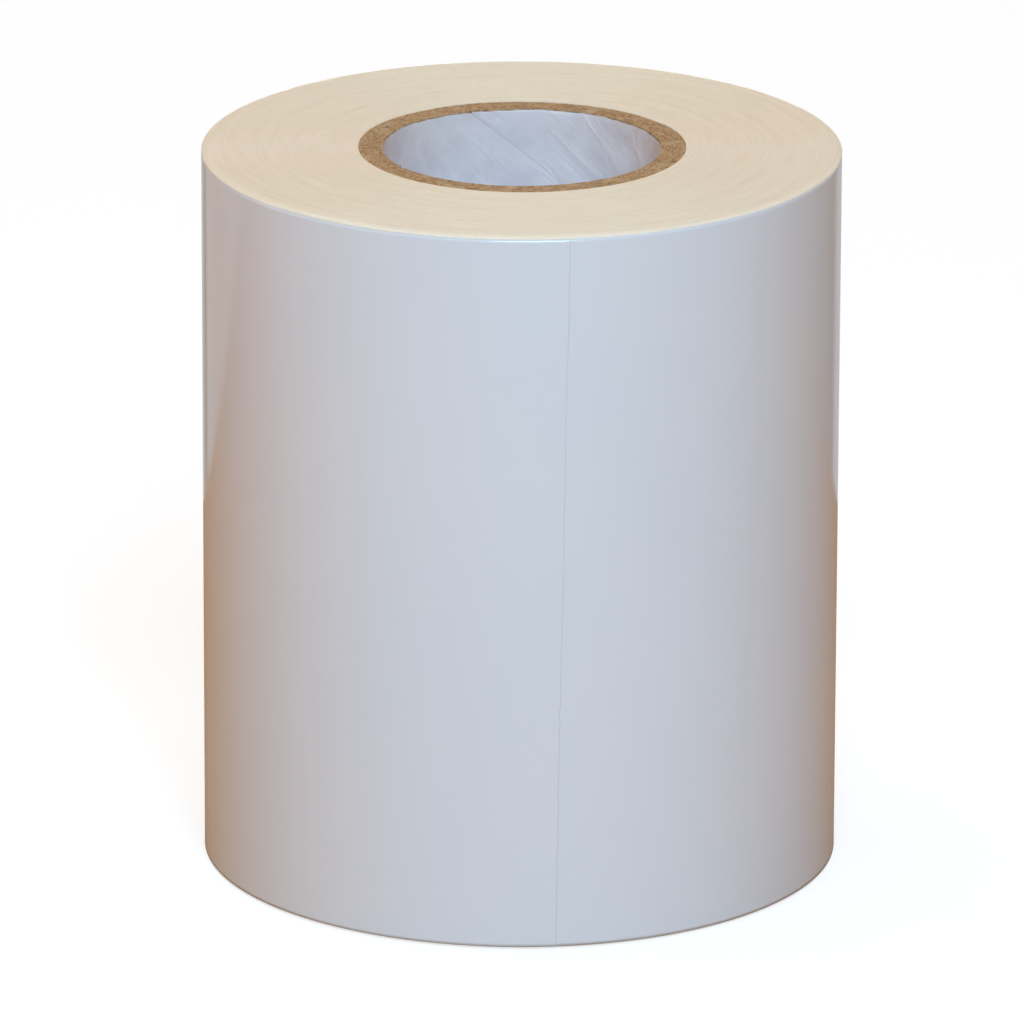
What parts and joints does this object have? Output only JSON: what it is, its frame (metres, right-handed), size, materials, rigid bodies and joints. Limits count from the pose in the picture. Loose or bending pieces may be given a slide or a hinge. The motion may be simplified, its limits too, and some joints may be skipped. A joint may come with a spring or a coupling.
{
  "type": "roll of sign vinyl",
  "caption": "Roll of self-adhesive white sign film on its paper liner, wound on a board core, with a free end that peels back.",
  "frame": {"origin": "centre of the lower end face, on the axis of the roll", "axes": "+Z along the roll's axis, upwards; the free end of the web is cut off at -Y, and its edge faces +X"},
  "size_m": [0.1765, 0.1767, 0.2032],
  "materials": {
    "vinyl": "gloss",
    "liner": "satin",
    "wound_edges": "matte",
    "core_board": "matte",
    "core_lining": "matte",
    "tape": "satin"
  },
  "bodies": {
    "roll": {"core_lining_ply": "core_lining", "core_ply_1": "core_board", "core_ply_2": "core_board", "core_ply_3": "core_board", "core_ply_4": "core_board", "core_ply_5": "core_board", "core_ply_6": "core_board", "core_tape_1": "tape", "core_tape_2": "tape", "core_tape_3": "tape", "wound_pack": "wound_edges", "outer_turn_liner": "liner", "outer_turn_film": "vinyl"},
    "tail_1": {"tail_liner_1": "liner", "tail_film_1": "vinyl"},
    "tail_2": {"tail_liner_2": "liner", "tail_film_2": "vinyl"},
    "tail_3": {"tail_liner_3": "liner", "tail_film_3": "vinyl"},
    "tail_4": {"tail_liner_4": "liner", "tail_film_4": "vinyl"},
    "tail_5": {"tail_liner_5": "liner", "tail_film_5": "vinyl"},
    "tail_6": {"tail_liner_6": "liner", "tail_film_6": "vinyl"},
    "film_tab": {"film_tab": "vinyl"}
  },
  "joints": [
    {"name": "tail_peel", "type": "hinge", "parent": "roll", "child": "tail_1", "pos_m": [-0.06248, -0.06248, 0.1016], "axis": [0, 0, -1], "range_deg": [0, 15], "stiffness_Nm_per_rad": 0.005},
    {"name": "tail_flex_2", "type": "hinge", "parent": "tail_1", "child": "tail_2", "pos_m": [-0.05379, -0.07011, 0.1016], "axis": [0, 0, -1], "range_deg": [0, 15]},
    {"name": "tail_flex_3", "type": "hinge", "parent": "tail_2", "child": "tail_3", "pos_m": [-0.04419, -0.07653, 0.1016], "axis": [0, 0, -1], "range_deg": [0, 15]},
    {"name": "tail_flex_4", "type": "hinge", "parent": "tail_3", "child": "tail_4", "pos_m": [-0.03382, -0.08165, 0.1016], "axis": [0, 0, -1], "range_deg": [0, 15]},
    {"name": "tail_flex_5", "type": "hinge", "parent": "tail_4", "child": "tail_5", "pos_m": [-0.02287, -0.08537, 0.1016], "axis": [0, 0, -1], "range_deg": [0, 15]},
    {"name": "tail_flex_6", "type": "hinge", "parent": "tail_5", "child": "tail_6", "pos_m": [-0.01154, -0.08763, 0.1016], "axis": [0, 0, -1], "range_deg": [0, 15]},
    {"name": "film_peel", "type": "hinge", "parent": "tail_6", "child": "film_tab", "pos_m": [-0.00578, -0.0882, 0.1016], "axis": [0, 0, -1], "range_deg": [0, 150], "stiffness_Nm_per_rad": 0.0005}
  ],
  "couplings": [
    {"joint": "tail_flex_2", "follows": "tail_peel", "ratio": 1},
    {"joint": "tail_flex_3", "follows": "tail_peel", "ratio": 1},
    {"joint": "tail_flex_4", "follows": "tail_peel", "ratio": 1},
    {"joint": "tail_flex_5", "follows": "tail_peel", "ratio": 1},
    {"joint": "tail_flex_6", "follows": "tail_peel", "ratio": 1}
  ]
}
